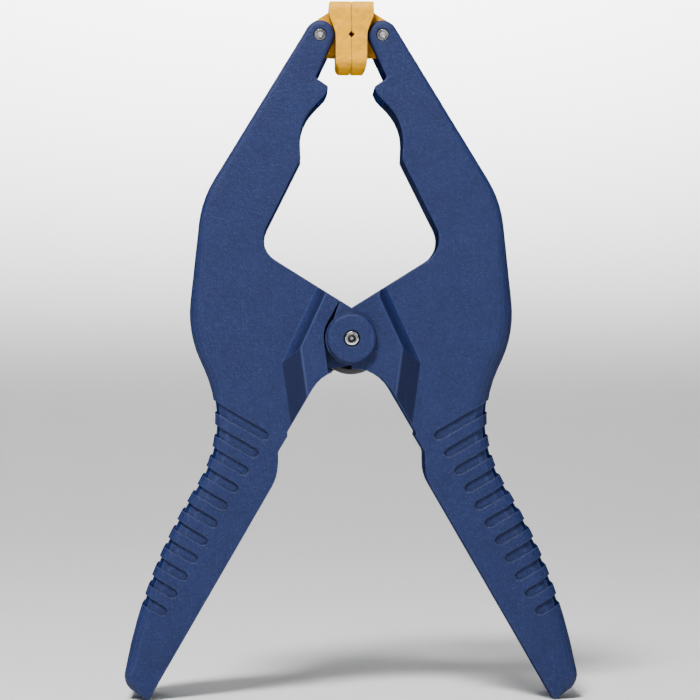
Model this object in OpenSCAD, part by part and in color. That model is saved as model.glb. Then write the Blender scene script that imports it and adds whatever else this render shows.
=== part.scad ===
// Spring clamp with swivelling jaw pads, about 75 mm of reach.
// Two equal moulded handles turn on a rivet. A torsion spring between them holds the jaws shut.
// X runs across the jaws, Y from front to back and Z up. The clamp stands on its handle ends.

/* [Pivot and spring] */
// Height of the rivet's axis above the handle ends
pivot_h = 115.5; // [100:0.5:130]
// Diameter of the rivet's shank
rivet_d = 3.8; // [3:0.1:4.4]
// Diameter of the rivet's spun ends
rivet_end_d = 4.6; // [4.6:0.1:5]
// Diameter of the bosses round the rivet
boss_d = 15.7; // [14:0.1:17]
// Height of the bosses above the hub plates
boss_rise = 2.5; // [1.5:0.1:4]
// Thickness of the spring's wire
wire_d = 3; // [2.4:0.1:3.1]
// Outer diameter of the spring's coil
coil_d = 21.2; // [20.6:0.1:21.4]
// Full turns that the coil makes besides its open part
coil_turns = 3; // [2:1:3]
// Length of each leg of the spring
leg_l = 46; // [40:1:50]
// Lean of the spring's legs from upright, in degrees
leg_lean = 35; // [32:0.5:38]

/* [Jaws] */
// Height of the pad pins above the rivet
jaw_reach = 97; // [90:0.5:110]
// Distance of each pad pin from the middle
pad_pin_x = 10; // [9:0.1:12]
// Radius of the jaws' round tips
tip_r = 4.7; // [4.4:0.1:5]
// Diameter of the pad pins
pad_pin_d = 3.6; // [3:0.1:4]
// Width of the shoulder bend from the middle
shoulder_x = 47.9; // [44:0.1:52]
// Height of the shoulder bend above the rivet
shoulder_z = 44.3; // [38:0.1:50]
// Width of the throat's corner from the middle
throat_x = 30.4; // [27:0.1:33]
// Height of the throat's corner above the rivet
throat_z = 28.8; // [27:0.1:33]

/* [Pads] */
// Height of the pads
pad_h = 21.6; // [20:0.1:24]
// Depth of the pads from front to back
pad_depth = 26; // [24:0.5:30]
// Height of the pads above their pins
pad_above = 10.8; // [10:0.1:12]
// Thickness of the pads at their top lip
pad_lip_t = 7.2; // [6.6:0.1:7.6]
// Depth of the groove across each pad's face
pad_groove = 1.05; // [0.5:0.05:1.5]

/* [Handles] */
// Depth of the handles from front to back
body_depth = 24; // [22:0.5:26]
// Thickness of the handles' walls
wall = 3; // [2.4:0.1:3.4]
// Width of the handles' widest point from the middle
widest_x = 52.6; // [50:0.1:56]
// Height of the handles' widest point above the rivet
widest_z = 2.2; // [-2:0.1:6]
// Rise of the hub plates above the handles' sides
plate_rise = 3.5; // [3:0.1:4.5]
// Distance from the middle to the top of each grip's inner edge
grip_x = 23.5; // [22:0.1:26]
// Drop from the rivet's axis to the top of each grip's inner edge
grip_z = 44.1; // [41:0.1:48]
// Width of the grips at their swell
grip_w = 21.7; // [19:0.1:23]
// Width of the grips at their end
grip_end_w = 9.7; // [8:0.1:13]
// Lean of the grips from upright, in degrees
grip_lean = 30; // [28:0.5:31]

/* [Grip grooves] */
// Number of grooves on each grip
groove_n = 11; // [4:1:11]
// Distance from one groove to the next
groove_pitch = 6.47; // [5:0.01:6.6]
// Width of the grooves
groove_w = 3.2; // [2:0.1:4]
// Depth of the grooves
groove_d = 0.7; // [0.3:0.1:1]

/* [Ribs] */
// Thickness of the ribs inside the handles
rib_t = 2.2; // [1.6:0.1:3]
// Distance of the ribs' free edges from the handles' inner edge
rib_recess = 2.5; // [1.5:0.1:2.8]

/* [Fits] */
// Clearance round the rivet and the pad pins
pin_fit = 0.05; // [0.02:0.01:0.09]
// Clearance between neighbouring layers of the hub
layer_gap = 0.2; // [0.1:0.05:0.4]
// Clearance between a pad's tongue and its fork, and between spring and seat
side_gap = 0.3; // [0.2:0.05:0.4]
// Gap between the closed pads' faces
face_gap = 0.1; // [0.05:0.05:0.2]

/* [Hidden] */
$fn = 64;

// Greatest distance between a curved outline and its chords
chord_tol = 0.05;
// Steps round a quarter of a rounded edge
edge_steps = 4;
// Length by which a cutting shape runs past what it cuts
past = 60;

// Small step between the outlines of joined shapes
step = 0.04;

// Half depths of the layers, from the middle outwards
half = body_depth / 2;
plate_y = half + plate_rise;
boss_y = plate_y + boss_rise;
cheek_in = half - 0.5;
ear_out = cheek_in - layer_gap;
ear_t = 3.8;
ear_in = ear_out - ear_t;
inner_half = half - wall;

// The hub's radii
hub_r = 8.4;
coil_drop = 1;
coil_r = (coil_d - wire_d) / 2;
barrel_r = coil_d / 2 - wire_d - coil_drop - side_gap;
hub_clear_r = coil_d / 2 + coil_drop + 0.7;

// Edge roundings, from the jaws down to the grips' ends
edge_jaw = 1.5;
edge_shoulder = 2.6;
edge_hub = 4.6;
edge_grip = 5;
edge_heel = 3.5;
edge_toe = 0.8;
edge_in = 0.5;

// Heights where the throat's edges meet, and of the hub's underside
notch_z = 9.8;
under_z = -9.8;
under_r = 13.2;

// The left jaw's pin, and the shape of the jaw below it
pin = [-pad_pin_x, jaw_reach];
heel_notch = pin + [-1.4, -13.8];
nose_top = pin + [2.8, -16.6];
nose_low = pin + [1.7, -19.2];
scallop = pin + [-6.7, -27.8];
scallop_end = pin + [-6.2, -39.8];

// The grip's own frame: down along its inner edge, and outwards from it
grip_down = [-sin(grip_lean), -cos(grip_lean)];
grip_out = [-cos(grip_lean), sin(grip_lean)];
toe_r = 0.9;
toe_rise = toe_r * (1 / cos(45 - grip_lean / 2) - 1);
grip_top = [-grip_x, -grip_z];
grip_l = (pivot_h + toe_rise - grip_z) / cos(grip_lean);
function on_grip(a, b) = grip_top + a * grip_down + b * grip_out;
waist = on_grip(-5.8, grip_w - 0.9);
swell = on_grip(grip_l - 34.5, grip_w);
heel = on_grip(grip_l, grip_end_w);
toe = on_grip(grip_l, 0);
grip_step = [-grip_x, grip_top[1] + 7.7];
nub_low = grip_step + [3.2, 5.3];
nub_top = grip_step + [2.75, 6];

// Roundings of the hip, the waist and the swell. Neighbouring curves share the stretch between them.
function half_bend(a, b, c) = tan(abs(turn_at(unit(b - a), unit(c - b))) / 2);
shoulder = [-shoulder_x, shoulder_z];
hip = [-widest_x, widest_z];
hip_r = min(36, 0.38 * norm(waist - hip) / half_bend(shoulder, hip, waist));
waist_t = min(39 * half_bend(hip, waist, swell), 0.61 * norm(waist - hip));
waist_r = waist_t / half_bend(hip, waist, swell);
swell_r = 0.89 * (norm(swell - waist) - waist_t) / half_bend(waist, swell, heel);

function unit(v) = v / norm(v);
function right_of(d) = [d[1], -d[0]];
function turned(v, a) = [v[0] * cos(a) - v[1] * sin(a), v[0] * sin(a) + v[1] * cos(a)];
function turn_at(d, e) = atan2(d[0] * e[1] - d[1] * e[0], d * e);
function arc_steps(r, a) = max(2, ceil(abs(a) / (2 * acos(1 - min(chord_tol / r, 0.5)))));

// Each place on an outline is [x, z, edge rounding, outward normal's x, its z]
function place(p, edge, n) = [p[0], p[1], edge, n[0], n[1]];

// Rounded corner b of an outline that comes from a and goes on to c
function corner(a, b, c) =
    let (from = unit([b[0] - a[0], b[1] - a[1]]),
         to = unit([c[0] - b[0], c[1] - b[1]]),
         bend = turn_at(from, to),
         side = sign(bend),
         r = b[2],
         start = [b[0], b[1]] - from * r * tan(abs(bend) / 2),
         centre = start - side * r * right_of(from),
         n = arc_steps(r, bend))
    [for (i = [0:n])
        let (out = turned(right_of(from), bend * i / n))
        place(centre + side * r * out, b[3], out)];

// Outline through corners [x, z, corner radius, edge rounding], all of them rounded
function closed_outline(c) =
    let (m = len(c))
    [for (i = [0:m - 1]) each corner(c[(i + m - 1) % m], c[i], c[(i + 1) % m])];

// Bearing of the tangent from point p to the circle round c
function tangent_bearing(p, c, r, side) =
    atan2(p[1] - c[1], p[0] - c[0]) + side * acos(r / norm(p - c));
function on_circle(c, r, a) = c + r * [cos(a), sin(a)];

tip_from = tangent_bearing(heel_notch, pin, tip_r, 1);
tip_to = tangent_bearing([-shoulder_x, shoulder_z], pin, tip_r, -1) + 360;
tip_n = arc_steps(tip_r, tip_to - tip_from);
tip_places = [for (i = [0:tip_n])
    let (a = tip_from + (tip_to - tip_from) * i / tip_n)
    place(on_circle(pin, tip_r, a), edge_jaw, [cos(a), sin(a)])];

// Corners of the left handle, from its jaw down the back and up again on the inside
tip_last = on_circle(pin, tip_r, tip_to);
tip_first = on_circle(pin, tip_r, tip_from);
handle_corners = [
    [tip_last[0], tip_last[1], 0, 0],
    concat(shoulder, [35, edge_shoulder]),
    concat(hip, [hip_r, edge_hub]),
    concat(waist, [waist_r, edge_grip]),
    concat(swell, [swell_r, edge_grip]),
    concat(heel, [5.9, edge_heel]),
    concat(toe, [toe_r, edge_toe]),
    concat(grip_top, [14, edge_in]),
    concat(grip_step, [3, edge_in]),
    concat(nub_low, [0.6, edge_in]),
    concat(nub_top, [0.6, edge_in]),
    [-8.7, under_z, under_r, edge_in],
    [0, under_z, 0.6, edge_in],
    [0, notch_z, 0.6, edge_in],
    [-throat_x, throat_z, 7.9, edge_in],
    concat(scallop_end, [0.6, edge_in]),
    concat(scallop, [16, edge_in]),
    concat(nose_low, [1.5, edge_in]),
    concat(nose_top, [0.7, edge_in]),
    concat(heel_notch, [1, edge_in]),
    [tip_first[0], tip_first[1], 0, 0]];
handle_places = concat(tip_places,
    [for (i = [1:len(handle_corners) - 2])
        each corner(handle_corners[i - 1], handle_corners[i], handle_corners[i + 1])]);

// Extrudes an outline in X and Z from front_y to back_y
module slab(front_y, back_y) {
    translate([0, back_y, 0])
        rotate([90, 0, 0])
            linear_extrude(back_y - front_y) children();
}

// Round bar along Y
module bar(r, front_y, back_y) {
    translate([0, back_y, 0])
        rotate([90, 0, 0])
            cylinder(r = r, h = back_y - front_y);
}

// Body of even depth whose edges are rounded by each place's own radius, inset all round
module rounded_body(places, half_depth, inset = 0) {
    m = len(places);
    last = 2 * edge_steps + 1;
    angles = [for (k = [0:edge_steps]) 90 * k / edge_steps];
    points = [for (k = [0:last]) each
        let (front = k <= edge_steps,
             a = angles[front ? k : last - k])
        [for (p = places)
            let (edge = max(p[2] - inset, 0.1),
                 back_off = inset + edge * (1 - sin(a)),
                 y = half_depth - inset - edge * (1 - cos(a)))
            [p[0] - p[3] * back_off, front ? -y : y, p[1] - p[4] * back_off]]];
    sides = [for (k = [0:last - 1]) for (i = [0:m - 1])
        let (j = (i + 1) % m)
        each [[k * m + i, k * m + j, (k + 1) * m + j],
              [k * m + i, (k + 1) * m + j, (k + 1) * m + i]]];
    front_cap = [for (i = [0:m - 1]) m - 1 - i];
    back_cap = [for (i = [0:m - 1]) last * m + i];
    polyhedron(points, concat([front_cap], sides, [back_cap]), convexity = 8);
}

module handle_outline() {
    polygon([for (p = handle_places) [p[0], p[1]]]);
}

// Facets that lead from a handle's side up to the hub plate, by width
facet_top = [-10.9, 16.8];
facet_mid = [-22.2, -7.7];
facet_low = [-19.6, -26.2];
facet_upper_w = 3.6;
facet_lower_w = 6.9;

// Point where two lines meet, each given by a point and a direction
function meet(p, d, q, e) =
    let (s = ((q[0] - p[0]) * e[1] - (q[1] - p[1]) * e[0]) / (d[0] * e[1] - d[1] * e[0]))
    p + s * d;

facet_up = unit(facet_top - facet_mid);
facet_down = unit(facet_low - facet_mid);
plate_top = facet_top + 6 * facet_up;
plate_low = facet_low + 6 * facet_down;
plate_mid = meet(facet_mid + facet_upper_w * right_of(facet_up), facet_up,
                 facet_mid - facet_lower_w * right_of(facet_down), facet_down);

// Raised hub plate with its facets, on the front side
module hub_plate() {
    intersection() {
        slab(-plate_y - 1, -inner_half - 1) translate([-step, 0]) offset(delta = -2 * step) handle_outline();
        hull() {
            slab(-plate_y, -plate_y + 0.01)
                polygon([plate_mid, plate_top + facet_upper_w * right_of(facet_up),
                         [20, 30], [20, -30],
                         plate_low - facet_lower_w * right_of(facet_down)]);
            slab(-half, -inner_half - 1)
                polygon([facet_mid, plate_top, [20, 30], [20, -30], plate_low]);
        }
    }
}

// Pocket in the front plate, in which the other handle's cheek turns
module cheek_pocket() {
    slab(-past, -ear_out)
        polygon([for (p = concat([[-9.3 + 0.513 * 30, 30, 0, 0, 0]],
                     corner([-9.3 + 0.513 * 30, 30], [-9.3, 2.3, 10, 0], [-9.3 + 0.146 * 30, -30]),
                     [[-9.3 + 0.146 * 30, -30, 0, 0, 0]],
                     [[past, -30, 0, 0, 0], [past, 30, 0, 0, 0]])) [p[0], p[1]]]);
}

// Thin ear on the front side, on which the barrel stands that carries the coil
module ear() {
    bar(hub_r, -ear_out, -ear_in);
    intersection() {
        slab(-ear_out, -ear_in) translate([-step, 0]) offset(delta = -3 * step) handle_outline();
        slab(-past, past)
            polygon([[-24, 24], [-7, 14.2], [0, hub_r - step], [0, step - hub_r],
                     [-5, -9.5], [-20, -9.5]]);
    }
}

// Thick cheek on the back side, on which the boss stands that holds the rivet's end
cheek_x = 3.6;
module cheek() {
    bar(hub_r, cheek_in, plate_y);
    slab(cheek_in + step, plate_y - step)
        polygon([[-9, notch_z + 0.626 * 9 - 2 * step], [0, notch_z - 2 * step],
                 [cheek_x, notch_z + 0.626 * cheek_x - 2 * step], [4.9, 8.8], [5.8, 5.9],
                 [1, step - hub_r], [-5.1, -9.6], [-9, -8]]);
}

boss_edge = 1;
module boss() {
    translate([0, 0, -0.5])
        rotate_extrude()
            polygon(concat([[0, 0], [boss_d / 2, 0]],
                [for (i = [0:6])
                    let (a = 90 * i / 6)
                    [boss_d / 2 - boss_edge + boss_edge * cos(a),
                     boss_rise + 0.5 - boss_edge + boss_edge * sin(a)]],
                [[0, boss_rise + 0.5]]));
}

// Grooves that wrap round the grip, each with a round end near the grip's inner edge
groove_first = -9.25;
groove_end_b = 10.3;
spine_places = corner(handle_corners[3], handle_corners[4], handle_corners[5]);
spine_b = [for (p = concat(corner(handle_corners[2], handle_corners[3], handle_corners[4]),
                           spine_places,
                           corner(handle_corners[4], handle_corners[5], handle_corners[6])))
    let (v = [p[0], p[1]] - grip_top)
    [v * grip_down, v * grip_out]];

// Ring round a groove's cutter at a mm down the grip: [outwards, across], from the front to the back
function groove_ring(a, end_b) =
    let (b = lookup(a, spine_b),
         edge = a > grip_l - 12 ? edge_heel : edge_grip,
         floor_y = half - groove_d,
         r = edge - groove_d)
    concat([[end_b, -half - 1], [b + 2, -half - 1], [b + 2, half + 1], [end_b, half + 1],
            [end_b, floor_y]],
        [for (i = [0:groove_steps])
            let (t = 90 * i / groove_steps)
            [b - edge + r * sin(t), half - edge + r * cos(t)]],
        [for (i = [0:groove_steps])
            let (t = 90 * i / groove_steps)
            [b - edge + r * cos(t), edge - half - r * sin(t)]],
        [[end_b, -floor_y]]);
groove_steps = 2;
groove_turns = [-90, -30, 30, 90];

module groove_cutter(mid) {
    rings = [for (t = groove_turns)
        groove_ring(mid + groove_w / 2 * sin(t), groove_end_b - groove_w / 2 * cos(t))];
    m = len(rings[0]);
    last = len(groove_turns) - 1;
    points = [for (k = [0:last]) for (p = rings[k])
        let (q = on_grip(mid + groove_w / 2 * sin(groove_turns[k]), p[0]))
        [q[0], p[1], q[1]]];
    sides = [for (k = [0:last - 1]) for (i = [0:m - 1])
        let (j = (i + 1) % m)
        each [[k * m + j, k * m + i, (k + 1) * m + j],
              [k * m + i, (k + 1) * m + i, (k + 1) * m + j]]];
    polyhedron(points, concat([[for (i = [0:m - 1]) i]], sides,
                              [[for (i = [0:m - 1]) last * m + m - 1 - i]]), convexity = 4);
}

module grip_grooves() {
    for (i = [0:groove_n - 1])
        groove_cutter(groove_first + i * groove_pitch);
}

// Hollow of the channel, open towards the other handle
module channel_outline() {
    difference() {
        offset(delta = -wall) {
            handle_outline();
            polygon([toe, toe - 50 * grip_out, [40, -40], [40, 60],
                     scallop_end + [30, 10], nose_low, nose_low + [-1.5, 1],
                     scallop - [4, 0], scallop_end - [8, 0],
                     [-throat_x, throat_z], [-throat_x, 0], grip_step]);
        }
        polygon([nose_low + [30, 0], nose_low + [0, -wall], nose_low + [-40, 22 - wall],
                 nose_low + [-40, 80], nose_low + [30, 80]]);
    }
}

// Cross ribs of the arm and the grip, and the spring's seat
rib_n = 4;
rib_first = 17;
rib_last = 19;
arm_up = unit(scallop_end - [-throat_x, throat_z]);
module rib_strips() {
    for (s = [4, 20, 36])
        translate(scallop_end + [0, 6] - s * arm_up)
            rotate(atan2(arm_up[1], arm_up[0]))
                translate([-rib_t / 2, -6])
                    square([rib_t, past]);
    for (i = [0:rib_n - 1])
        translate(on_grip(rib_first + i * (grip_l - rib_first - rib_last) / (rib_n - 1), 0))
            rotate(90 - grip_lean)
                translate([-rib_t / 2, -5])
                    square([rib_t, past]);
}

module ribs() {
    slab(-inner_half - 1, inner_half + 1)
        intersection() {
            offset(delta = -rib_recess) handle_outline();
            union() {
                rib_strips();
                spring_seat();
            }
        }
}

// Ledge on the inside of the handle's back, on which the spring's leg bears
leg_dir = [-sin(leg_lean), -cos(leg_lean)];
coil_centre = [0, -coil_drop];
leg_foot = coil_centre + coil_r * [-cos(leg_lean), sin(leg_lean)];
seat_w = 5;
module spring_seat() {
    translate(leg_foot + (leg_l - 2 - seat_w) * leg_dir)
        rotate(-90 - leg_lean)
            translate([0, -past - wire_d / 2 - side_gap])
                square([seat_w, past]);
}

// Fork for the pad's tongue, open at the jaw's end
fork_r = tip_r + 0.8;
tongue_half = 7;
fork_bottom = [-0.6, -10];
module fork_slot() {
    a = tangent_bearing(fork_bottom, [0, 0], fork_r, -1);
    translate([pin[0], 0, pin[1]]) {
        bar(fork_r, -tongue_half - side_gap, tongue_half + side_gap);
        slab(-tongue_half - side_gap, tongue_half + side_gap)
            polygon([on_circle([0, 0], fork_r, a), fork_bottom, [20, fork_bottom[1]],
                     [20, 20], [-fork_r, 20], [-fork_r, 0]]);
    }
}

// The handle's moulding before its holes are made, at its full depth over the hub plates
module moulding() {
    resize([0, 2 * plate_y, 0]) {
        difference() {
            union() {
                difference() {
                    rounded_body(handle_places, half);
                    grip_grooves();
                }
                hub_plate();
                mirror([0, 1, 0]) hub_plate();
            }
            slab(-inner_half, inner_half) channel_outline();
            bar(hub_clear_r, -ear_out, cheek_in);
            cheek_pocket();
            fork_slot();
        }
        ribs();
        ear();
        cheek();
    }
}

// Recesses for the rivet's ends and the pad pin's ends
recess_d = 1.2;
pin_recess_d = 0.8;
module left_handle_shape() {
    difference() {
        union() {
            moulding();
            bar(barrel_r, -ear_in - 0.5, -layer_gap);
            translate([0, plate_y, 0])
                rotate([-90, 0, 0])
                    boss();
        }
        bar(rivet_d / 2 + pin_fit, -past, past);
        bar(rivet_end_d / 2 + 0.4, boss_y - recess_d, past);
        translate([pin[0], 0, pin[1]]) {
            bar(pad_pin_d / 2 + pin_fit, -past, past);
            bar(pad_pin_d / 2 + 0.35, half - pin_recess_d, past);
            bar(pad_pin_d / 2 + 0.35, -past, pin_recess_d - half);
        }
    }
}

// Lifts a shape that is drawn round the rivet's axis to its height
module at_pivot() {
    translate([0, 0, pivot_h]) children();
}

module left_handle() {
    color([0.16, 0.23, 0.42]) at_pivot() left_handle_shape();
}

module right_handle() {
    color([0.16, 0.23, 0.42]) rotate([0, 0, 180]) at_pivot() left_handle_shape();
}

// The spring: one wire from the left leg's end round the coil to the right leg's end
coil_sweep = 360 * coil_turns + 180 - 2 * leg_lean;
coil_rings = ceil(24 * coil_sweep / 360);
coil_y = ear_in - side_gap - wire_d / 2;
wire_sides = 6;
function coil_place(t) =
    let (a = 180 - leg_lean - coil_sweep * t)
    [coil_centre[0] + coil_r * cos(a), -coil_y + 2 * coil_y * t, coil_centre[1] + coil_r * sin(a)];
function coil_out(t) =
    let (a = 180 - leg_lean - coil_sweep * t)
    [cos(a), 0, sin(a)];
leg_left_end = coil_place(0) + leg_l * [leg_dir[0], 0, leg_dir[1]];
leg_right_end = coil_place(1) + leg_l * [-leg_dir[0], 0, leg_dir[1]];
wire_centres = concat([leg_left_end],
    [for (i = [0:coil_rings]) coil_place(i / coil_rings)],
    [leg_right_end]);
wire_outs = concat([coil_out(0)],
    [for (i = [0:coil_rings]) coil_out(i / coil_rings)],
    [coil_out(1)]);
function along(i) =
    let (m = len(wire_centres) - 1)
    unit(wire_centres[min(i + 1, m)] - wire_centres[max(i - 1, 0)]);

module main_spring() {
    m = len(wire_centres);
    s = wire_sides;
    points = [for (i = [0:m - 1])
        let (side = unit(cross(along(i), wire_outs[i])),
             out = cross(side, along(i)))
        for (k = [0:s - 1])
            wire_centres[i] + wire_d / 2 * (cos(360 * k / s) * out + sin(360 * k / s) * side)];
    skin = [for (i = [0:m - 2]) for (k = [0:s - 1])
        let (n = (k + 1) % s)
        each [[i * s + k, (i + 1) * s + k, (i + 1) * s + n],
              [i * s + k, (i + 1) * s + n, i * s + n]]];
    ends = [for (k = [1:s - 2])
        each [[0, k, k + 1],
              [(m - 1) * s, (m - 1) * s + k + 1, (m - 1) * s + k]]];
    color([0.2, 0.2, 0.22])
        at_pivot() polyhedron(points, concat(skin, ends));
}

// Least gap between stretches of the wire that lie half a turn or more apart
coil_gap = min([for (i = [0:len(wire_centres) - 13]) for (j = [i + 12:len(wire_centres) - 1])
    norm(wire_centres[i] - wire_centres[j])]) - wire_d;
echo(least_gap_of_the_spring_to_itself = coil_gap);

// Rivet: a shank with a hollow spun end at the front and a low head at the back
spin_t = 1;
module pivot_rivet() {
    color([0.78, 0.79, 0.8])
        at_pivot()
            difference() {
                union() {
                    bar(rivet_d / 2, -boss_y + recess_d - 0.1, boss_y - recess_d + 0.1);
                    rivet_end();
                    mirror([0, 1, 0]) rivet_end();
                }
                translate([0, -boss_y - 0.2, 0])
                    rotate([-90, 0, 0])
                        cylinder(r1 = rivet_end_d / 2 - 0.6, r2 = 0.8, h = 2.4);
            }
}

module rivet_end() {
    translate([0, -boss_y + recess_d - 0.1, 0])
        rotate([90, 0, 0])
            rotate_extrude()
                polygon([[0, 0], [rivet_end_d / 2, 0], [rivet_end_d / 2, spin_t - 0.5],
                         [rivet_end_d / 2 - 0.15, spin_t - 0.15],
                         [rivet_end_d / 2 - 0.5, spin_t], [0, spin_t]]);
}

// Pad pins: plain steel pins with a centre dimple in each end
module pad_pin_shape() {
    translate([pin[0], 0, pin[1]])
        difference() {
            bar(pad_pin_d / 2, -half + 0.2, half - 0.2);
            for (s = [0, 1])
                mirror([0, s, 0])
                    translate([0, -half + 0.1, 0])
                        rotate([-90, 0, 0])
                            cylinder(r1 = 0.9, r2 = 0.1, h = 0.8);
        }
}

module left_pad_pin() {
    color([0.8, 0.8, 0.82]) at_pivot() pad_pin_shape();
}

module right_pad_pin() {
    color([0.8, 0.8, 0.82]) rotate([0, 0, 180]) at_pivot() pad_pin_shape();
}

// Pads: seen from the front, relative to the pin
pad_face = pad_pin_x - face_gap / 2;
pad_back = tip_r + side_gap;
pad_lip = pad_pin_x - pad_lip_t;
pad_bottom = pad_above - pad_h;
tongue_r = 5;
pad_edge = 2.8;
pad_corners = [
    [pad_lip, pad_above, 0.8, 0],
    [pad_lip, 6.4, 3, 0],
    [pad_back, 0.6, 6, 0],
    [pad_back, pad_bottom + 1.7, 0.5, 0],
    [pad_back + 1, pad_bottom, 0.5, 0],
    [pad_face, pad_bottom, 0.6, 0],
    [pad_face, -pad_groove - 0.05, 0.2, 0],
    [pad_face - pad_groove, 0, 0.2, 0],
    [pad_face, pad_groove + 0.05, 0.2, 0],
    [pad_face, pad_above, 0.5, 0]];

module pad_outline() {
    polygon([for (p = closed_outline(pad_corners)) [p[0], p[1]]]);
}

// The pad seen from the side, with its rounded front and back edges
module pad_side_outline() {
    side_corners = [
        [-pad_depth / 2, pad_bottom, pad_edge, 0],
        [pad_depth / 2, pad_bottom, pad_edge, 0],
        [pad_depth / 2, pad_above, pad_edge, 0],
        [-pad_depth / 2, pad_above, pad_edge, 0]];
    polygon([for (p = closed_outline(side_corners)) [p[0], p[1]]]);
}

module pad_shape() {
    translate([pin[0], 0, pin[1]])
        difference() {
            union() {
                intersection() {
                    slab(-pad_depth / 2, pad_depth / 2) pad_outline();
                    translate([-1, 0, 0])
                        rotate([90, 0, 90])
                            linear_extrude(pad_pin_x + 2) pad_side_outline();
                }
                bar(tongue_r, -tongue_half, tongue_half);
                slab(-tongue_half, tongue_half) tongue_outline();
            }
            bar(pad_pin_d / 2 + pin_fit, -past, past);
        }
}

// Web between the pad's back and the eye round its pin
module tongue_outline() {
    low_back = [pad_back + 0.5, -5.8];
    top_back = [pad_lip + 0.5, 8];
    low = tangent_bearing([1.5, -5.5], [0, 0], tongue_r, -1);
    top = tangent_bearing(top_back, [0, 0], tongue_r, 1);
    polygon([low_back, [pad_back + 0.5, 0.6], [pad_lip + 0.5, 6.4], top_back,
             on_circle([0, 0], tongue_r, top), [0, 0],
             on_circle([0, 0], tongue_r, low), [1.5, -5.5]]);
}

module left_pad() {
    color([0.92, 0.73, 0.29]) at_pivot() pad_shape();
}

module right_pad() {
    color([0.92, 0.73, 0.29]) rotate([0, 0, 180]) at_pivot() pad_shape();
}

left_handle();
right_handle();
main_spring();
pivot_rivet();
left_pad();
right_pad();
left_pad_pin();
right_pad_pin();
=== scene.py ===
"""Looks of the spring clamp: smooth skins, a round spring, procedural finishes and a plain studio."""

import math

import bmesh
import bpy
from bpy.props import FloatProperty, FloatVectorProperty, IntProperty, PointerProperty
from bpy.types import Operator, Panel, PropertyGroup
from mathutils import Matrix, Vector


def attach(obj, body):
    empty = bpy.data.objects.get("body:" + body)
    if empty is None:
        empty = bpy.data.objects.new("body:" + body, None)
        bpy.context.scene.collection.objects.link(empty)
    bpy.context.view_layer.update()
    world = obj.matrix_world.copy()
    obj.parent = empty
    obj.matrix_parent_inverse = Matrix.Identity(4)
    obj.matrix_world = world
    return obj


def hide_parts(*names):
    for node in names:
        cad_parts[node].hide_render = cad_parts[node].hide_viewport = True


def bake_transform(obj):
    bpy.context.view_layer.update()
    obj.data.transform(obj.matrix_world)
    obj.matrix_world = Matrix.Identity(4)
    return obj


bl_info = {
    "name": "Spring Clamp Looks",
    "version": (1, 0, 0),
    "blender": (4, 5, 0),
    "location": "3D View > Sidebar > Clamp",
    "description": "Dresses a spring clamp and sets up its studio",
    "category": "Object",
}

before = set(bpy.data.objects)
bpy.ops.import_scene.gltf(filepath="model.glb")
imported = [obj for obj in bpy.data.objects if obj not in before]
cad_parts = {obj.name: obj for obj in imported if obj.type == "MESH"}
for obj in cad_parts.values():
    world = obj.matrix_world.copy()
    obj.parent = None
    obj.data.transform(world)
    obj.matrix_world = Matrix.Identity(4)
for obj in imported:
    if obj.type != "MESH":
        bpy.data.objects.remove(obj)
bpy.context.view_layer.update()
LEFT, RIGHT = "left_handle", "right_handle"

# A millimetre in metres, and what turns a place in metres into millimetres
MM = 0.001
IN_MM = (1000.0, 1000.0, 1000.0)

# How far out and up the axes of the rivet and of each pad pin are
RIVET_HEIGHT = 0.1155
RIVET_PLACE = (0.0, RIVET_HEIGHT)
PIN_PLACE = (0.010, 0.2125)

# Sizes of |Y| in a face's normal: 1 faces the front or the back, 0 faces sideways, up or down
FLAT, WIDE_FACET, STEEPEST_FACET = 0.94, 0.8, 0.6
WALL_FROM, WALL_TO = 0.75, 0.4
# The steep facets' shade fades in this far past the side's face, and is full this far short of the plate's
FADE_IN, FADE_OUT = 0.0003, 0.0013
# The painted highlight on the plates' rims grows between these two distances short of the plate's face
RIM_FROM, RIM_TO = 0.0004, 0.00015

# Shares of a moulding's own colour where it is dull, under painted shade on the hub's facets, and under
# painted shade in corners
DULL = 0.70
FACET_SHADE_SHARES = (0.10, 0.27, 0.42)
UNDER_CORNER_SHADE = 0.15
# How much each mask counts in a moulding's colour
MOTTLE_SHARE, PATCH_SHARE = 0.62, 0.38
FACET_SHADE_MIX, RIM_HIGHLIGHT, SCRATCH_RUB, CORNER_SHADE_MIX = 0.95, 0.5, 0.25, 0.9
# Painted shade darkens spots where the piece's own walls are nearer than this
CORNER_SHADE_REACH = 0.006
# How many times lighter the pads' flecks are than the pads
PAD_FLECK_LIGHTER = 1.12
# How much grain roughens a moulding, and smears and rubbed edges smooth it
GRAIN_ROUGH, SMEAR_SMOOTH, EDGE_SMOOTH = 0.12, 0.12, 0.14

# Steel: the share of its colour in dull patches, the share and colour of the painted shade in the rivet's
# dimple, and the edges' radius
DULL_STEEL = 0.72
STEEL_SHADE_MIX = 0.85
SHADE_COLOUR = (0.02, 0.02, 0.018, 1.0)
STEEL_EDGE = 0.00018
# Widths in mm over which the dimple's painted shade fades, at its outside and round its bright middle
OUTER_SHADE_FADE, MIDDLE_SHADE_FADE = 0.25, 0.2

# Drawn marks along the whole wire and round it, and how many times lighter than the wire they are
LINES_ALONG, LINES_ROUND = 30.0, 36.0
LINE_LIGHTER = 2.6

# Vertices of a CAD mesh nearer than this become one
MERGE = 0.000003
# Straight steps of the wire's path in each turn and in each leg
STEPS_A_TURN, STEPS_A_LEG = 48, 8

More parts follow.
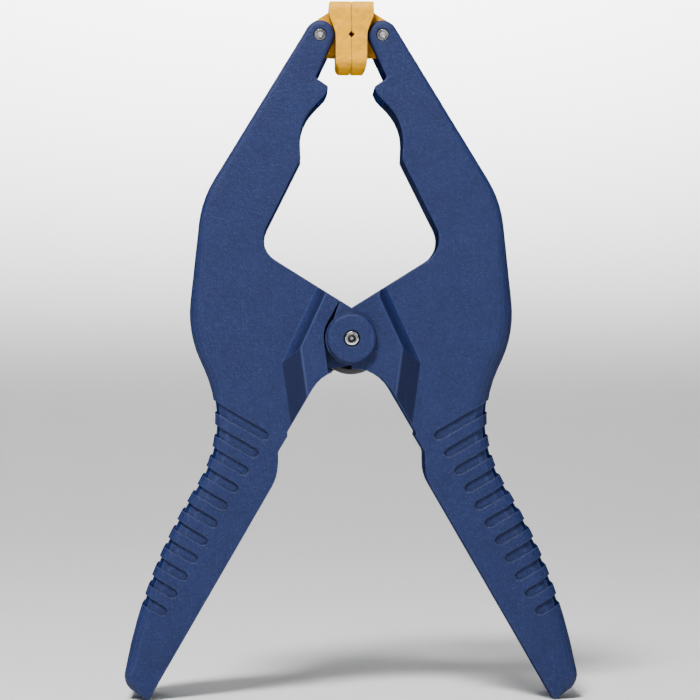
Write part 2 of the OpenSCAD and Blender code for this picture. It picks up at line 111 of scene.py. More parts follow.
# Studio: each light's place and its two sides, in metres. The far lights stand in half a ring in front
KEY_PLACE, KEY_SIZE = (-0.30, -0.75, 1.25), (0.36, 0.28)
FILL_PLACE, FILL_SIZE = (0.65, -0.75, 0.75), (0.5, 0.6)
TOP_PLACE, TOP_SIZE = (-0.2, 0.1, 0.9), (0.7, 0.5)
BACK_PLACE, BACK_AIM, BACK_SIZE = (0.0, 0.90, 1.00), (0.0, 1.6, 0.45), (1.2, 0.2)
BACK_SPREAD, FAR_SPREAD = math.radians(80), math.radians(70)
FAR_LIGHTS, FAR_RADIUS, FAR_HEIGHT, FAR_SIZE = 5, 2.5, 1.5, (2.0, 2.0)
# The paper sweep: its bend's radius, where it stands, half its width, its front end, top and steps
SWEEP_BEND, SWEEP_BACK, SWEEP_HALF = 0.9, 1.6, 4.0
SWEEP_FRONT, SWEEP_TOP, SWEEP_STEPS = -4.0, 5.0, 24


# ---------------------------------------------------------------- settings


class CLAMP_PG_spring(PropertyGroup):
    """Sizes of the torsion spring. They follow the construction"""

    wire: FloatProperty(name="Wire", description="Wire diameter", default=0.003, unit="LENGTH")
    coil: FloatProperty(name="Coil", description="Mean diameter of the coil", default=0.0182, unit="LENGTH")
    pivot: FloatProperty(
        name="Pivot", description="Height of the rivet's axis", default=RIVET_HEIGHT, unit="LENGTH")
    drop: FloatProperty(
        name="Drop", description="Coil's axis below the rivet's", default=0.001, unit="LENGTH")
    half_width: FloatProperty(
        name="Half width", description="Half the distance between the legs", default=0.0057, unit="LENGTH")
    leg: FloatProperty(name="Leg", description="Length of each leg", default=0.046, unit="LENGTH")
    lean: FloatProperty(
        name="Lean", description="Lean of the legs from upright", default=math.radians(35), subtype="ANGLE")
    turns: IntProperty(name="Turns", description="Full turns besides the open part", default=3)
    sides: IntProperty(name="Sides", description="Sides of the round wire", default=24)


class CLAMP_PG_finish(PropertyGroup):
    """Colours and surface sizes of the finishes"""

    body: FloatVectorProperty(
        name="Body", description="Handle colour", default=(0.0095, 0.0195, 0.090), subtype="COLOR")
    body_fleck: FloatVectorProperty(
        name="Fleck", description="Fibre flecks in the handles", default=(0.060, 0.085, 0.22),
        subtype="COLOR")
    pad: FloatVectorProperty(
        name="Pad", description="Pad colour", default=(1.0, 0.455, 0.0), subtype="COLOR")
    steel: FloatVectorProperty(
        name="Steel", description="Plated steel colour", default=(0.86, 0.87, 0.88), subtype="COLOR")
    wire: FloatVectorProperty(
        name="Wire", description="Spring wire colour", default=(0.022, 0.022, 0.024), subtype="COLOR")
    grain: FloatProperty(
        name="Grain", description="Size of the handles' grain", default=0.00045, unit="LENGTH")
    pad_grain: FloatProperty(
        name="Pad grain", description="Size of the pads' grain", default=0.0008, unit="LENGTH")
    edge: FloatProperty(
        name="Edge", description="Radius of the handles' softened edges", default=0.0005, unit="LENGTH")
    pad_edge: FloatProperty(
        name="Pad edge", description="Radius of the pads' softened edges", default=0.0003, unit="LENGTH")
    crease: FloatProperty(
        name="Crease", description="Angle above which an edge stays sharp", default=math.radians(25),
        subtype="ANGLE")


class CLAMP_PG_stage(PropertyGroup):
    """Camera and light"""

    distance: FloatProperty(name="Distance", description="Camera distance", default=0.84, unit="LENGTH")
    azimuth: FloatProperty(
        name="Azimuth", description="Camera azimuth", default=math.radians(-1.3), subtype="ANGLE")
    elevation: FloatProperty(name="Elevation", description="Camera elevation", default=0.0, subtype="ANGLE")
    aim_x: FloatProperty(
        name="Aim X", description="Middle of the picture, across", default=-0.0002, unit="LENGTH")
    aim_z: FloatProperty(
        name="Aim Z", description="Middle of the picture, up", default=0.1118, unit="LENGTH")
    field: FloatProperty(
        name="Field", description="Width of the picture at the clamp", default=0.2266, unit="LENGTH")
    key_power: FloatProperty(name="Key", description="Power of the key light in watts", default=38.0)
    fill_power: FloatProperty(
        name="Fill", description="Power of the fill light and of the top light in watts", default=1.2)
    back_power: FloatProperty(
        name="Backdrop", description="Power of the backdrop's own light in watts", default=22.0)
    floor_power: FloatProperty(
        name="Far floor", description="Power of each light over the far floor in watts", default=22.0)
    world: FloatProperty(name="World", description="Brightness of the surrounding light", default=0.06)
    seen_world: FloatProperty(
        name="Seen world", description="Brightness past the backdrop, as the camera sees it", default=0.75)


# ---------------------------------------------------------------- node helpers


class Wiring:
    """Adds nodes to a tree and joins them, so that a material reads as a list of steps"""

    def __init__(self, tree):
        self.tree = tree

    def add(self, kind, label, inputs=None, **settings):
        node = self.tree.nodes.new(kind)
        node.label = label
        node.name = label
        for key, value in settings.items():
            setattr(node, key, value)
        for key, value in (inputs or {}).items():
            self.put(node.inputs[key], value)
        return node

    def put(self, socket, value):
        if isinstance(value, bpy.types.NodeSocket):
            self.tree.links.new(value, socket)
        else:
            socket.default_value = value

    def math(self, label, operation, a, b=0.0):
        return self.add("ShaderNodeMath", label, {0: a, 1: b}, operation=operation).outputs[0]

    def ramp(self, label, value, low, high, to_low=0.0, to_high=1.0):
        node = self.add(
            "ShaderNodeMapRange", label,
            {"Value": value, "From Min": low, "From Max": high, "To Min": to_low, "To Max": to_high})
        return node.outputs["Result"]

    def mix(self, label, factor, a, b):
        node = self.add("ShaderNodeMix", label, data_type="RGBA")
        for name, value in (("Factor_Float", factor), ("A_Color", a), ("B_Color", b)):
            self.put(next(s for s in node.inputs if s.identifier == name), value)
        return next(s for s in node.outputs if s.identifier == "Result_Color")

    def noise(self, label, vector, scale, detail=2.0, roughness=0.5):
        node = self.add("ShaderNodeTexNoise", label,
                        {"Vector": vector, "Scale": scale, "Detail": detail, "Roughness": roughness})
        return node.outputs["Fac"]


def new_group(name, inputs, outputs):
    """A shader node group with named sockets: (name, socket type, default)"""
    tree = bpy.data.node_groups.new(name, "ShaderNodeTree")
    for label, kind, default in inputs:
        socket = tree.interface.new_socket(label, in_out="INPUT", socket_type=kind)
        if default is not None:
            socket.default_value = default
    for label, kind in outputs:
        tree.interface.new_socket(label, in_out="OUTPUT", socket_type=kind)
    w = Wiring(tree)
    start = w.add("NodeGroupInput", "Inputs")
    end = w.add("NodeGroupOutput", "Outputs")
    return tree, w, start, end


def grain_group():
    """Fine moulded grain: flecks, a height for the bump and slow patches, all in millimetres"""
    tree, w, start, end = new_group(
        "Moulded grain",
        [("Vector", "NodeSocketVector", None), ("Grain", "NodeSocketFloat", 0.45)],
        [("Flecks", "NodeSocketFloat"), ("Height", "NodeSocketFloat"), ("Mottle", "NodeSocketFloat"),
         ("Patches", "NodeSocketFloat")])
    scaled = w.add("ShaderNodeVectorMath", "To millimetres",
                   {0: start.outputs["Vector"], 1: IN_MM}, operation="MULTIPLY")
    per_grain = w.math("Per grain", "DIVIDE", 1.0, start.outputs["Grain"])
    fine = w.noise("Fine grain", scaled.outputs[0], per_grain, detail=3.0, roughness=0.6)
    fleck_scale = w.math("Fleck scale", "MULTIPLY", per_grain, 0.9)
    fleck = w.add("ShaderNodeTexVoronoi", "Fibre flecks",
                  {"Vector": scaled.outputs[0], "Scale": fleck_scale})
    spots = w.ramp("Fleck spots", fleck.outputs["Distance"], low=0.34, high=0.08)
    density = w.ramp("Fleck density", fine, low=0.42, high=0.62)
    w.put(end.inputs["Flecks"], w.math("Flecks", "MULTIPLY", spots, density))
    w.put(end.inputs["Height"], w.ramp("Height", fine, low=0.25, high=0.75))
    mottle_scale = w.math("Mottle scale", "MULTIPLY", per_grain, 0.4)
    mottle = w.noise("Mottle noise", scaled.outputs[0], mottle_scale, detail=2.0, roughness=0.6)
    w.put(end.inputs["Mottle"], w.ramp("Mottle", mottle, low=0.36, high=0.64))
    slow = w.noise("Slow patches", scaled.outputs[0], scale=0.09, detail=3.0)
    w.put(end.inputs["Patches"], w.ramp("Patches", slow, low=0.3, high=0.7))
    return tree


def handling_group():
    """Where hands and bench rub a surface: faint streaks and smears"""
    tree, w, start, end = new_group(
        "Handling",
        [("Vector", "NodeSocketVector", None), ("Amount", "NodeSocketFloat", 0.5)],
        [("Smear", "NodeSocketFloat"), ("Scratches", "NodeSocketFloat")])
    scaled = w.add("ShaderNodeVectorMath", "To millimetres",
                   {0: start.outputs["Vector"], 1: IN_MM}, operation="MULTIPLY")
    smear = w.noise("Smears", scaled.outputs[0], scale=0.22, detail=4.0, roughness=0.65)
    turned = w.add("ShaderNodeMapping", "Turned",
                   {"Vector": scaled.outputs[0], "Rotation": (0.3, 0.6, 0.9), "Scale": (3.2, 0.10, 0.10)})
    lines = w.noise("Scratch lines", turned.outputs[0], scale=1.0, detail=2.0, roughness=0.4)
    smeared = w.ramp("Smear range", smear, low=0.45, high=0.75)
    w.put(end.inputs["Smear"], w.math("Smear", "MULTIPLY", smeared, start.outputs["Amount"]))
    scratched = w.ramp("Scratch range", lines, low=0.66, high=0.72)
    w.put(end.inputs["Scratches"], w.math("Scratches", "MULTIPLY", scratched, start.outputs["Amount"]))
    return tree


def facet_group():
    """Painted shade on the slanted facets round the hub plates, a painted highlight on the plates' rims, and
    walls from front to back
    """
    tree, w, start, end = new_group(
        "Painted facet shade",
        [("Vector", "NodeSocketVector", None), ("Height", "NodeSocketFloat", RIVET_HEIGHT),
         ("From", "NodeSocketFloat", 0.010), ("To", "NodeSocketFloat", 0.036),
         ("Side", "NodeSocketFloat", 0.012), ("Plate", "NodeSocketFloat", 0.0155)],
        [("Mask", "NodeSocketFloat"), ("Rim", "NodeSocketFloat"), ("Wall", "NodeSocketFloat")])
    true = w.add("ShaderNodeNewGeometry", "Shape").outputs["True Normal"]
    own = w.add("ShaderNodeVectorTransform", "Own normal", {"Vector": true},
                vector_type="NORMAL", convert_from="WORLD", convert_to="OBJECT")
    facing = w.add("ShaderNodeSeparateXYZ", "Split normal", {"Vector": own.outputs[0]})
    flat = w.math("Facing front or back", "ABSOLUTE", facing.outputs["Y"])
    slanted = w.math("Slanted", "MULTIPLY", w.math("Not flat", "LESS_THAN", flat, FLAT),
                     w.math("Not a wall", "GREATER_THAN", flat, STEEPEST_FACET))
    w.put(end.inputs["Wall"], w.ramp("Wall", flat, WALL_FROM, WALL_TO))
    place = w.add("ShaderNodeSeparateXYZ", "Split place", {"Vector": start.outputs["Vector"]})
    up = w.math("Up", "SUBTRACT", place.outputs["Z"], start.outputs["Height"])
    across = place.outputs["X"]
    square = w.math("Square", "ADD", w.math("Across squared", "MULTIPLY", across, across),
                    w.math("Up squared", "MULTIPLY", up, up))
    radius = w.math("Radius", "SQRT", square)
    ring = w.math("In the ring", "MULTIPLY",
                  w.math("Past the boss", "GREATER_THAN", radius, start.outputs["From"]),
                  w.math("Near the hub", "LESS_THAN", radius, start.outputs["To"]))
    # Painted shade: the slanted facets in the ring round the hub plates
    facet = w.math("Facet", "MULTIPLY", slanted, ring)
    depth = w.math("Depth", "ABSOLUTE", place.outputs["Y"])
    fading = w.ramp("Fades towards the side", depth,
                    w.math("Fade start", "ADD", start.outputs["Side"], FADE_IN),
                    w.math("Fade end", "SUBTRACT", start.outputs["Plate"], FADE_OUT))
    even = w.math("Even on the wide facets", "MAXIMUM", fading,
                  w.math("Wide facet", "GREATER_THAN", flat, WIDE_FACET))
    w.put(end.inputs["Mask"], w.math("Mask", "MULTIPLY", facet, even))
    # Painted highlight: a thin rim along the plates' edges on the slanted facets
    rim = w.ramp("Rim", depth, w.math("Rim start", "SUBTRACT", start.outputs["Plate"], RIM_FROM),
                 w.math("Rim end", "SUBTRACT", start.outputs["Plate"], RIM_TO))
    w.put(end.inputs["Rim"], w.math("Rubbed rim", "MULTIPLY", facet, rim))
    return tree


def group_node(w, tree, label, inputs):
    node = w.add("ShaderNodeGroup", label, node_tree=tree)
    for key, value in inputs.items():
        w.put(node.inputs[key], value)
    return node


def new_material(name):
    """A material with only a Principled shader: (material, wiring, shader, object coordinates)"""
    material = bpy.data.materials.new(name)
    material.use_nodes = True
    tree = material.node_tree
    tree.nodes.clear()
    w = Wiring(tree)
    shader = w.add("ShaderNodeBsdfPrincipled", "Surface")
    output = w.add("ShaderNodeOutputMaterial", "Output")
    tree.links.new(shader.outputs["BSDF"], output.inputs["Surface"])
    place = w.add("ShaderNodeTexCoord", "Place").outputs["Object"]
    return material, w, shader, place


def bump(w, label, height, depth, strength, normal=None):
    inputs = {"Height": height, "Distance": depth, "Strength": strength}
    if normal is not None:
        inputs["Normal"] = normal
    return w.add("ShaderNodeBump", label, inputs).outputs["Normal"]


def soft_edges(w, radius):
    return w.add("ShaderNodeBevel", "Soft edges", {"Radius": radius}, samples=4).outputs["Normal"]


def edge_mask(w, bevelled):
    """Where the softened normal leaves the true one: the edges, lightened as wear and as a painted highlight
    """
    true = w.add("ShaderNodeNewGeometry", "Shape").outputs["True Normal"]
    along = w.add("ShaderNodeVectorMath", "Along the true normal", {0: bevelled, 1: true},
                  operation="DOT_PRODUCT")
    return w.ramp("Rubbed edge", along.outputs["Value"], low=0.994, high=0.92)


def corner_shade(w, reach):
    """How much a spot is shut in by its own piece: painted shade in corners and hollows"""
    shut = w.add("ShaderNodeAmbientOcclusion", "Shut in", {"Distance": reach}, samples=8, only_local=True)
    return w.ramp("Corner grime", shut.outputs["AO"], low=0.80, high=0.30)


def rgba(colour):
    return (*colour, 1.0)


# ---------------------------------------------------------------- materials


def moulded_plastic(name, colour, fleck, grain_size, edge, groups, roughness, fleck_mix, edge_wear_and_highlight, sheen):
    """Matt glass-filled moulding: flecks and grain, painted shade on the hub's facets and in corners, edges
    lightened as wear and as a painted highlight
    """
    material, w, shader, place = new_material(name)
    grain = group_node(w, groups["grain"], "Grain", {"Vector": place, "Grain": grain_size / MM})
    hand = group_node(w, groups["handling"], "Handling", {"Vector": place, "Amount": 0.5})
    hub = group_node(w, groups["facets"], "Hub facets", {"Vector": place})
    dull = tuple(DULL * c for c in colour)
    shade = w.math("Mottled patches", "MULTIPLY_ADD", grain.outputs["Mottle"], MOTTLE_SHARE)
    w.put(shade.node.inputs[2], w.math("Patch share", "MULTIPLY", grain.outputs["Patches"], PATCH_SHARE))
    base = w.mix("Patchy base", shade, rgba(dull), rgba(colour))
    flecks = w.math("Fleck mix", "MULTIPLY", grain.outputs["Flecks"], fleck_mix)
    flecked = w.mix("Flecked", flecks, base, rgba(fleck))
    # Painted shade: the hub's slanted facets take a darker share of the colour
    facet_shade_colour = tuple(share * c for share, c in zip(FACET_SHADE_SHARES, colour))
    facet_shade = w.math("Facet mix", "MULTIPLY", hub.outputs["Mask"], FACET_SHADE_MIX)
    facets = w.mix("Facets", facet_shade, flecked, rgba(facet_shade_colour))
    edges = soft_edges(w, edge)
    wear_and_highlight_edges = edge_mask(w, edges)
    # Edges lighten towards the fleck colour as wear and as a painted highlight, the plates' rims as a
    # painted highlight, scratches as wear
    rims = w.math("Edges and rims", "MAXIMUM", w.math("Edge rub", "MULTIPLY", wear_and_highlight_edges, edge_wear_and_highlight),
                  w.math("Rim rub", "MULTIPLY", hub.outputs["Rim"], RIM_HIGHLIGHT))
    scratches = w.math("Rub mix", "MULTIPLY", hand.outputs["Scratches"], SCRATCH_RUB)
    wear_and_highlight = w.math("Scratches and edges", "MAXIMUM", scratches, rims)
    worn_and_highlighted = w.mix("Rubbed", wear_and_highlight, facets, rgba(fleck))
    # Painted shade: spots shut in by the piece's own walls are darkened
    painted_shade = w.math("Grime share", "MULTIPLY", corner_shade(w, CORNER_SHADE_REACH), CORNER_SHADE_MIX)
    shaded_colour = tuple(UNDER_CORNER_SHADE * c for c in colour)
    w.put(shader.inputs["Base Color"], w.mix("Grimy", painted_shade, worn_and_highlighted, rgba(shaded_colour)))
    rough = w.math("Grain roughness", "MULTIPLY_ADD", grain.outputs["Height"], GRAIN_ROUGH)
    rough.node.inputs[2].default_value = roughness
    smeared = w.math("Smeared", "MULTIPLY", hand.outputs["Smear"], SMEAR_SMOOTH)
    smooth = w.math("Rubbed smoother", "MAXIMUM", smeared,
                    w.math("Edges smoother", "MULTIPLY", wear_and_highlight_edges, EDGE_SMOOTH))
    w.put(shader.inputs["Roughness"], w.math("Roughness", "SUBTRACT", rough, smooth))
    grained = bump(w, "Grain bump", grain.outputs["Height"], depth=0.00012, strength=0.8, normal=edges)
    mottled = bump(w, "Mottle bump", grain.outputs["Mottle"], depth=0.00010, strength=0.75, normal=grained)
    w.put(shader.inputs["Normal"],
          bump(w, "Scratch bump", hand.outputs["Scratches"], depth=0.00002, strength=0.3, normal=mottled))
    shader.inputs["IOR"].default_value = 1.5
    w.put(shader.inputs["Specular IOR Level"],
          w.ramp("Sheen, none on walls", hub.outputs["Wall"], low=0.0, high=1.0, to_low=sheen, to_high=0.0))
    return material


def plated_steel(name, colour, groups, centre, shade_from, shade_to):
    """Plated steel, turned round an axis along Y: fine rings, dull patches, painted shade in a dimple
    between two radii in mm
    """
    material, w, shader, place = new_material(name)
    split = w.add("ShaderNodeSeparateXYZ", "Split", {"Vector": place})
    across = w.math("Across", "SUBTRACT", w.math("Either side", "ABSOLUTE", split.outputs["X"]), centre[0])
    up = w.math("Up", "SUBTRACT", split.outputs["Z"], centre[1])
    square = w.math("Square", "ADD", w.math("Across squared", "MULTIPLY", across, across),
                    w.math("Up squared", "MULTIPLY", up, up))
    radius = w.math("Radius in mm", "MULTIPLY", w.math("Radius", "SQRT", square), 1 / MM)
    ring_place = w.add("ShaderNodeCombineXYZ", "Ring place", {"X": radius}).outputs[0]
    rings = w.noise("Turned rings", ring_place, scale=7.0, detail=2.0)
    # Painted shade: the dimple's ring between the two radii is darkened
    inside = w.ramp("Inside the dimple", radius, shade_to, shade_to - OUTER_SHADE_FADE)
    middle = w.ramp("Past its bright middle", radius, shade_from, shade_from + MIDDLE_SHADE_FADE)
    painted_shade = w.math("Grime", "MULTIPLY", inside, middle)
    hand = group_node(w, groups["handling"], "Handling", {"Vector": place, "Amount": 0.8})
    grain = group_node(w, groups["grain"], "Grain", {"Vector": place, "Grain": 0.2})
    dull = tuple(DULL_STEEL * c for c in colour)
    plating = w.mix("Patchy plating", grain.outputs["Patches"], rgba(dull), rgba(colour))
    dimple_shade = w.math("Grime share", "MULTIPLY", painted_shade, STEEL_SHADE_MIX)
    w.put(shader.inputs["Base Color"], w.mix("Grimy", dimple_shade, plating, SHADE_COLOUR))
    shader.inputs["Metallic"].default_value = 1.0
    w.put(shader.inputs["Roughness"],
          w.ramp("Roughness", hand.outputs["Smear"], low=0.0, high=0.8, to_low=0.2, to_high=0.38))
    edges = soft_edges(w, STEEL_EDGE)
    turned = bump(w, "Ring marks", rings, depth=0.00002, strength=0.5, normal=edges)
    w.put(shader.inputs["Normal"],
          bump(w, "Fine marks", grain.outputs["Height"], depth=0.000005, strength=0.3, normal=turned))
    return material


def spring_wire(name, colour, groups):
    """Drawn spring wire, dark and oiled, with lines along it"""
    material, w, shader, place = new_material(name)
    along = w.add("ShaderNodeAttribute", "Along the wire", attribute_name="wire_along").outputs["Fac"]
    around = w.add("ShaderNodeAttribute", "Round the wire", attribute_name="wire_around").outputs["Fac"]
    strip = w.add("ShaderNodeCombineXYZ", "Unrolled wire",
                  {"X": w.math("Lines along", "MULTIPLY", along, LINES_ALONG),
                   "Y": w.math("Lines round", "MULTIPLY", around, LINES_ROUND)})
    drawn = w.noise("Drawn lines", strip.outputs[0], scale=1.0, detail=3.0, roughness=0.55)
    hand = group_node(w, groups["handling"], "Handling", {"Vector": place, "Amount": 0.8})
    light = tuple(min(1.0, LINE_LIGHTER * c) for c in colour)
    lines = w.ramp("Line range", drawn, low=0.4, high=0.75)
    w.put(shader.inputs["Base Color"], w.mix("Drawn colour", lines, rgba(colour), rgba(light)))
    shader.inputs["Metallic"].default_value = 0.5
    w.put(shader.inputs["Roughness"],
          w.ramp("Roughness", hand.outputs["Smear"], low=0.0, high=0.8, to_low=0.36, to_high=0.52))
    w.put(shader.inputs["Normal"], bump(w, "Line bump", drawn, depth=0.00002, strength=0.35))
    return material


def studio_paper(name):
    """Matt grey-white paper with fine fibres"""
    material, w, shader, place = new_material(name)
    fibres = w.noise("Paper fibres", place, scale=900.0, detail=3.0)
    w.put(shader.inputs["Base Color"], w.mix("Paper", fibres, (0.74, 0.74, 0.74, 1), (0.78, 0.78, 0.78, 1)))
    shader.inputs["Roughness"].default_value = 0.9
    w.put(shader.inputs["Normal"], bump(w, "Paper bump", fibres, depth=0.0001, strength=0.15))
    return material


# ---------------------------------------------------------------- meshes


def link(name, mesh):
    obj = bpy.data.objects.new(name, mesh)
    bpy.context.scene.collection.objects.link(obj)
    return obj


def settled(obj):
    """Turns what the object's modifiers make into its plain mesh"""
    bpy.context.view_layer.update()
    graph = bpy.context.evaluated_depsgraph_get()
    mesh = bpy.data.meshes.new_from_object(
        obj.evaluated_get(graph), preserve_all_data_layers=True, depsgraph=graph)
    mesh.name = obj.name
    obj.modifiers.clear()
    if obj.type == "MESH":
        obj.data = mesh
        return obj
    finished = link(obj.name + "_mesh", mesh)
    bpy.data.objects.remove(obj)
    return finished


def smooth_skin(node, name, crease, material, body):
    """A merged copy of a CAD node with even shading: flats stay flat and roundings are smooth"""
    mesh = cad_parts[node].data.copy()
    mesh.name = name
    bm = bmesh.new()
    bm.from_mesh(mesh)
    bmesh.ops.remove_doubles(bm, verts=bm.verts, dist=MERGE)
    bmesh.ops.recalc_face_normals(bm, faces=bm.faces)
    for edge in bm.edges:
        edge.smooth = len(edge.link_faces) == 2 and edge.calc_face_angle(0.0) < crease
    for face in bm.faces:
        face.smooth = True
        face.material_index = 0
    bm.to_mesh(mesh)
    bm.free()
    for layer in ("custom_normal", "UVMap"):
        if layer in mesh.attributes:
            mesh.attributes.remove(mesh.attributes[layer])
    mesh.materials.clear()
    mesh.materials.append(material)
    obj = link(name, mesh)
    even = obj.modifiers.new("Even shading", "WEIGHTED_NORMAL")
    even.keep_sharp = True
    even.weight = 50
    obj = settled(obj)
    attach(obj, body)
    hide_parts(node)
    return obj


def spring_path(s):
    """Points along the wire's middle, from the left leg's end round the coil to the right leg's end"""
    radius = s.coil / 2
    centre = Vector((0, 0, s.pivot - s.drop))
    sweep = 2 * math.pi * s.turns + math.pi - 2 * s.lean
    steps = STEPS_A_TURN * (s.turns + 1)

    def at(t):
        a = math.pi - s.lean - sweep * t
        return centre + Vector((radius * math.cos(a), s.half_width * (2 * t - 1), radius * math.sin(a)))

    coil = [at(i / steps) for i in range(steps + 1)]
    leg = Vector((math.sin(s.lean), 0, math.cos(s.lean)))
    other_leg = Vector((leg.x, 0, -leg.z))
    left = [coil[0] - leg * s.leg * (1 - i / STEPS_A_LEG) for i in range(STEPS_A_LEG)]
    right = [coil[-1] + other_leg * s.leg * (i + 1) / STEPS_A_LEG for i in range(STEPS_A_LEG)]
    return left + coil + right


def wire_tree(material):
    """Geometry nodes that give a path a round wire, and store how far along and round it each point is"""
    tree = bpy.data.node_groups.new("Round wire", "GeometryNodeTree")
    face = tree.interface
    face.new_socket("Geometry", in_out="INPUT", socket_type="NodeSocketGeometry")
    face.new_socket("Radius", in_out="INPUT", socket_type="NodeSocketFloat")
    face.new_socket("Sides", in_out="INPUT", socket_type="NodeSocketInt")
    face.new_socket("Geometry", in_out="OUTPUT", socket_type="NodeSocketGeometry")
    w = Wiring(tree)
    start = w.add("NodeGroupInput", "Inputs")
    end = w.add("NodeGroupOutput", "Outputs")
    place = w.add("GeometryNodeSplineParameter", "Along the path")
    stored = w.add("GeometryNodeStoreNamedAttribute", "Store length",
                   {"Geometry": start.outputs["Geometry"], "Name": "wire_along",
                    "Value": place.outputs["Factor"]},
                   data_type="FLOAT", domain="POINT")
    circle = w.add("GeometryNodeCurvePrimitiveCircle", "Wire section",
                   {"Resolution": start.outputs["Sides"], "Radius": start.outputs["Radius"]}, mode="RADIUS")
    turn = w.add("GeometryNodeSplineParameter", "Round the section")
    ringed = w.add("GeometryNodeStoreNamedAttribute", "Store turn",
                   {"Geometry": circle.outputs["Curve"], "Name": "wire_around",
                    "Value": turn.outputs["Factor"]},
                   data_type="FLOAT", domain="POINT")
    swept = w.add("GeometryNodeCurveToMesh", "Sweep",
                  {"Curve": stored.outputs["Geometry"], "Profile Curve": ringed.outputs["Geometry"],
                   "Fill Caps": True})
    solid = w.add("GeometryNodeRealizeInstances", "Realize", {"Geometry": swept.outputs["Mesh"]})
    finish = w.add("GeometryNodeSetMaterial", "Finish",
                   {"Geometry": solid.outputs["Geometry"], "Material": material})
    w.put(end.inputs["Geometry"], finish.outputs["Geometry"])
    return tree


def set_input(modifier, tree, label, value):
    socket = next(s for s in tree.interface.items_tree if s.name == label and s.in_out == "INPUT")
    modifier[socket.identifier] = value


def finish_named(name):
    return bpy.data.materials[name]


# ---------------------------------------------------------------- operators


class CLAMP_OT_finishes(Operator):
    """Make the clamp's finishes"""

    bl_idname = "clamp.finishes"
    bl_label = "Finishes"

    def execute(self, context):
        f = context.scene.clamp_finish
        groups = {"grain": grain_group(), "handling": handling_group(), "facets": facet_group()}
        moulded_plastic("blue_moulding", tuple(f.body), tuple(f.body_fleck), f.grain, f.edge, groups,
                        roughness=0.48, fleck_mix=0.8, edge_wear_and_highlight=0.55, sheen=0.28)
        pad_fleck = tuple(min(1, PAD_FLECK_LIGHTER * c) for c in f.pad)
        moulded_plastic("yellow_moulding", tuple(f.pad), pad_fleck, f.pad_grain, f.pad_edge, groups,
                        roughness=0.40, fleck_mix=0.25, edge_wear_and_highlight=0.0, sheen=0.25)
        # The rivet's dimple gets painted shade between these radii; the pins get none
        plated_steel("rivet_steel", tuple(f.steel), groups, RIVET_PLACE, shade_from=0.3, shade_to=1.35)
        plated_steel("pin_steel", tuple(f.steel), groups, PIN_PLACE, shade_from=0.0, shade_to=0.0)
        spring_wire("spring_wire", tuple(f.wire), groups)
        studio_paper("studio_paper")
        return {"FINISHED"}


class CLAMP_OT_handles(Operator):
    """Dress both handles"""

    bl_idname = "clamp.handles"
    bl_label = "Handles"

    def execute(self, context):
        crease = context.scene.clamp_finish.crease
        for body in (LEFT, RIGHT):
            skin = smooth_skin(body, body + "_skin", crease, finish_named("blue_moulding"), body)
        return {"FINISHED"}


class CLAMP_OT_pads(Operator):
    """Dress the two jaw pads"""

    bl_idname = "clamp.pads"
    bl_label = "Pads"

    def execute(self, context):
        crease = context.scene.clamp_finish.crease
        for body in ("left_pad", "right_pad"):
            skin = smooth_skin(body, body + "_skin", crease, finish_named("yellow_moulding"), body)
        return {"FINISHED"}


class CLAMP_OT_pins(Operator):
    """Dress the rivet and the pad pins"""

    bl_idname = "clamp.pins"
    bl_label = "Rivet and pins"

    def execute(self, context):
        crease = context.scene.clamp_finish.crease
        for node, body, finish in (("pivot_rivet", LEFT, "rivet_steel"),
                                   ("left_pad_pin", LEFT, "pin_steel"),
                                   ("right_pad_pin", RIGHT, "pin_steel")):
            skin = smooth_skin(node, node + "_skin", crease, finish_named(finish), body)
        return {"FINISHED"}


class CLAMP_OT_spring(Operator):
    """Wind the torsion spring as a full round wire"""

    bl_idname = "clamp.spring"
    bl_label = "Spring"

    def execute(self, context):
        s = context.scene.clamp_spring
        curve = bpy.data.curves.new("spring_path", "CURVE")
        curve.dimensions = "3D"
        points = spring_path(s)
        spline = curve.splines.new("POLY")
        spline.points.add(len(points) - 1)
        for point, place in zip(spline.points, points):
            point.co = (*place, 1.0)
        path = link("spring_path", curve)
        tree = wire_tree(finish_named("spring_wire"))
        round_wire = path.modifiers.new("Round wire", "NODES")
        round_wire.node_group = tree
        set_input(round_wire, tree, "Radius", s.wire / 2)
        set_input(round_wire, tree, "Sides", s.sides)
        wire = settled(path)
        wire.name = "torsion_spring"
        wire.data.name = "torsion_spring"
        for polygon in wire.data.polygons:
            polygon.use_smooth = len(polygon.vertices) == 4
        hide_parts("main_spring")
        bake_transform(wire)
        return {"FINISHED"}


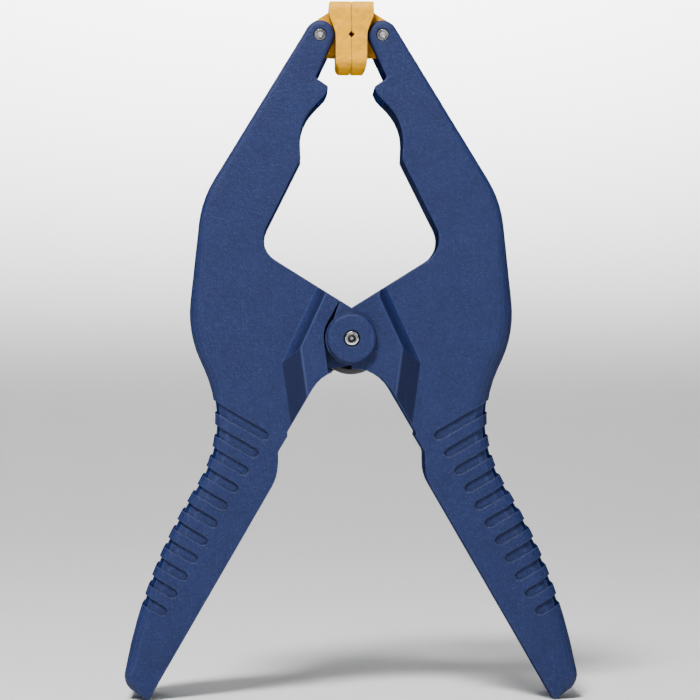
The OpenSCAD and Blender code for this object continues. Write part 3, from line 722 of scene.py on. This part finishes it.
class CLAMP_OT_stage(Operator):
    """Set up the floor, the lights and the camera"""

    bl_idname = "clamp.stage"
    bl_label = "Stage"

    def sweep(self):
        """Floor that curves up into a backdrop"""
        bend = SWEEP_BACK - SWEEP_BEND
        profile = [(SWEEP_FRONT, 0.0), (bend, 0.0)]
        for i in range(1, SWEEP_STEPS + 1):
            a = math.pi / 2 * i / SWEEP_STEPS
            profile.append((bend + SWEEP_BEND * math.sin(a), SWEEP_BEND - SWEEP_BEND * math.cos(a)))
        profile.append((SWEEP_BACK, SWEEP_TOP))
        points = [(x, y, z) for y, z in profile for x in (-SWEEP_HALF, SWEEP_HALF)]
        faces = [(2 * i, 2 * i + 1, 2 * i + 3, 2 * i + 2) for i in range(len(profile) - 1)]
        mesh = bpy.data.meshes.new("studio_sweep")
        mesh.from_pydata(points, [], faces)
        mesh.polygons.foreach_set("use_smooth", [True] * len(faces))
        mesh.materials.append(finish_named("studio_paper"))
        return link("studio_sweep", mesh)

    def area(self, name, place, aim, size, power):
        light = bpy.data.lights.new(name, "AREA")
        light.shape = "RECTANGLE"
        light.size, light.size_y = size
        light.energy = power
        obj = bpy.data.objects.new(name, light)
        obj.location = place
        obj.rotation_euler = (Vector(aim) - Vector(place)).to_track_quat("-Z", "Y").to_euler()
        bpy.context.scene.collection.objects.link(obj)
        return obj

    def execute(self, context):
        s = context.scene.clamp_stage
        aim = Vector((s.aim_x, 0, s.aim_z))
        self.sweep()
        self.area("key_light", KEY_PLACE, aim, KEY_SIZE, s.key_power)
        self.area("fill_light", FILL_PLACE, aim, FILL_SIZE, s.fill_power)
        self.area("top_light", TOP_PLACE, aim, TOP_SIZE, s.fill_power)
        back = self.area("backdrop_light", BACK_PLACE, BACK_AIM, BACK_SIZE, s.back_power)
        back.data.spread = BACK_SPREAD
        for i in range(FAR_LIGHTS):
            a = math.pi * (1 + i / (FAR_LIGHTS - 1))
            x, y = FAR_RADIUS * math.cos(a), FAR_RADIUS * math.sin(a)
            below = (x, y + MM, 0.0)
            far = self.area(f"floor_light_{i + 1}", (x, y, FAR_HEIGHT), below, FAR_SIZE, s.floor_power)
            far.data.spread = FAR_SPREAD
        world = bpy.data.worlds.new("studio_world")
        world.use_nodes = True
        w = Wiring(world.node_tree)
        ground = world.node_tree.nodes["Background"]
        ground.inputs["Color"].default_value = (1, 1, 1, 1)
        seen = w.add("ShaderNodeLightPath", "Kind of ray").outputs["Is Camera Ray"]
        strength = w.ramp("Seen or lighting", seen, low=0.0, high=1.0, to_low=s.world, to_high=s.seen_world)
        w.put(ground.inputs["Strength"], strength)
        context.scene.world = world
        camera = bpy.data.cameras.new("camera")
        camera.sensor_fit = "AUTO"
        camera.angle = 2 * math.atan(s.field / 2 / s.distance)
        camera.clip_start = 0.01
        camera.dof.use_dof = False
        eye = bpy.data.objects.new("camera", camera)
        level = math.cos(s.elevation)
        away = Vector((math.sin(s.azimuth) * level, -math.cos(s.azimuth) * level, math.sin(s.elevation)))
        eye.location = aim + away * s.distance
        eye.rotation_euler = (-away).to_track_quat("-Z", "Y").to_euler()
        context.scene.collection.objects.link(eye)
        context.scene.camera = eye
        return {"FINISHED"}


class CLAMP_PT_panel(Panel):
    """Lists the clamp's steps and settings"""

    bl_idname = "CLAMP_PT_panel"
    bl_label = "Spring Clamp"
    bl_space_type = "VIEW_3D"
    bl_region_type = "UI"
    bl_category = "Clamp"

    def draw(self, context):
        column = self.layout.column(align=True)
        for step in STEPS:
            column.operator(step.bl_idname)
        for settings in SETTINGS:
            box = self.layout.box()
            group = getattr(context.scene, settings)
            for key in group.__annotations__:
                box.prop(group, key)


SETTINGS = {
    "clamp_spring": CLAMP_PG_spring,
    "clamp_finish": CLAMP_PG_finish,
    "clamp_stage": CLAMP_PG_stage,
}
STEPS = (
    CLAMP_OT_finishes,
    CLAMP_OT_handles,
    CLAMP_OT_pads,
    CLAMP_OT_pins,
    CLAMP_OT_spring,
    CLAMP_OT_stage,
)
CLASSES = (*SETTINGS.values(), *STEPS, CLAMP_PT_panel)


def register():
    for cls in CLASSES:
        bpy.utils.register_class(cls)
    for name, cls in SETTINGS.items():
        setattr(bpy.types.Scene, name, PointerProperty(type=cls))


def unregister():
    for name in SETTINGS:
        delattr(bpy.types.Scene, name)
    for cls in reversed(CLASSES):
        bpy.utils.unregister_class(cls)


def main():
    register()
    bpy.ops.clamp.finishes()
    bpy.ops.clamp.handles()
    bpy.ops.clamp.pads()
    bpy.ops.clamp.pins()
    bpy.ops.clamp.spring()
    bpy.ops.clamp.stage()


if __name__ == "__main__":
    main()
